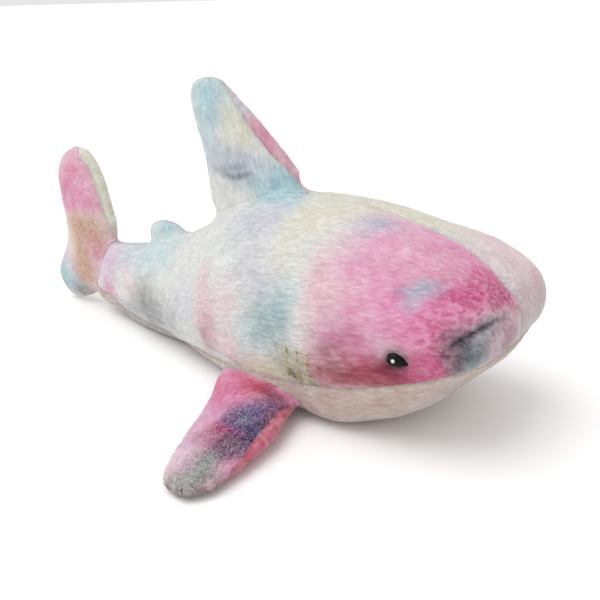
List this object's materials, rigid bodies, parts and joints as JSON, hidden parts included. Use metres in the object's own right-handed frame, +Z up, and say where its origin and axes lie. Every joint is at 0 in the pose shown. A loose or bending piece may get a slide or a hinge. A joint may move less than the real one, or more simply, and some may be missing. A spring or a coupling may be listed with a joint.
{
  "type": "plush shark",
  "caption": "Soft stuffed toy shark with a broad snout, white belly and tie-dyed plush, lying on its belly with bendable fins and tail.",
  "frame": {"origin": "on the floor, midway between the nose and the tail fin, in the mid-plane", "axes": "+X towards the nose, +Y towards the toy's left side, +Z up"},
  "size_m": [0.8001, 0.6172, 0.378],
  "materials": {
    "dyed_plush": "tie-dyed deep pile plush",
    "white_plush": "white deep pile plush",
    "filling": "polyester fibre filling",
    "gill_thread": "embroidery thread",
    "eye_plastic": "polished black",
    "washer_plastic": "moulded"
  },
  "bodies": {
    "trunk": {"right_trunk_panel": "dyed_plush", "left_trunk_panel": "dyed_plush", "belly_panel": "white_plush", "trunk_stuffing": "filling", "right_eye": "eye_plastic", "left_eye": "eye_plastic", "right_eye_washer": "washer_plastic", "left_eye_washer": "washer_plastic", "right_gill_stitches": "gill_thread", "left_gill_stitches": "gill_thread"},
    "tail_stock": {"right_tail_panel": "dyed_plush", "left_tail_panel": "dyed_plush", "tail_belly_panel": "white_plush", "tail_stuffing": "filling"},
    "tail_fin": {"right_tail_fin_panel": "dyed_plush", "left_tail_fin_panel": "dyed_plush", "tail_fin_stuffing": "filling"},
    "dorsal_fin": {"right_dorsal_panel": "dyed_plush", "left_dorsal_panel": "dyed_plush", "dorsal_stuffing": "filling"},
    "rear_dorsal_fin": {"right_rear_dorsal_panel": "dyed_plush", "left_rear_dorsal_panel": "dyed_plush", "rear_dorsal_stuffing": "filling"},
    "right_pectoral_fin": {"right_pectoral_upper_panel": "dyed_plush", "right_pectoral_lower_panel": "dyed_plush", "right_pectoral_stuffing": "filling"},
    "left_pectoral_fin": {"left_pectoral_upper_panel": "dyed_plush", "left_pectoral_lower_panel": "dyed_plush", "left_pectoral_stuffing": "filling"}
  },
  "joints": [
    {"name": "tail_sway", "type": "hinge", "parent": "trunk", "child": "tail_stock", "pos_m": [-0.045, 0, 0.09], "axis": [0, 0, 1], "range_deg": [-22, 22], "stiffness_Nm_per_rad": 0.8},
    {"name": "tail_fin_sway", "type": "hinge", "parent": "tail_stock", "child": "tail_fin", "pos_m": [-0.279, 0, 0.091], "axis": [0.4614, 0, 0.8872], "range_deg": [-30, 30], "stiffness_Nm_per_rad": 0.4},
    {"name": "dorsal_fin_lean", "type": "hinge", "parent": "trunk", "child": "dorsal_fin", "pos_m": [0.038, 0, 0.23625], "axis": [0.93, 0, 0.3676], "range_deg": [-30, 30], "stiffness_Nm_per_rad": 0.4},
    {"name": "rear_dorsal_fin_lean", "type": "hinge", "parent": "tail_stock", "child": "rear_dorsal_fin", "pos_m": [-0.129, 0, 0.155], "axis": [0.9459, 0, 0.3243], "range_deg": [-30, 30], "stiffness_Nm_per_rad": 0.1},
    {"name": "right_pectoral_flap", "type": "hinge", "parent": "trunk", "child": "right_pectoral_fin", "pos_m": [0.118, -0.12132, 0.021], "axis": [-0.9929, 0.1191, 0], "range_deg": [-35, 50], "stiffness_Nm_per_rad": 0.4},
    {"name": "left_pectoral_flap", "type": "hinge", "parent": "trunk", "child": "left_pectoral_fin", "pos_m": [0.118, 0.12132, 0.021], "axis": [0.9929, 0.1191, 0], "range_deg": [-35, 50], "stiffness_Nm_per_rad": 0.4}
  ]
}
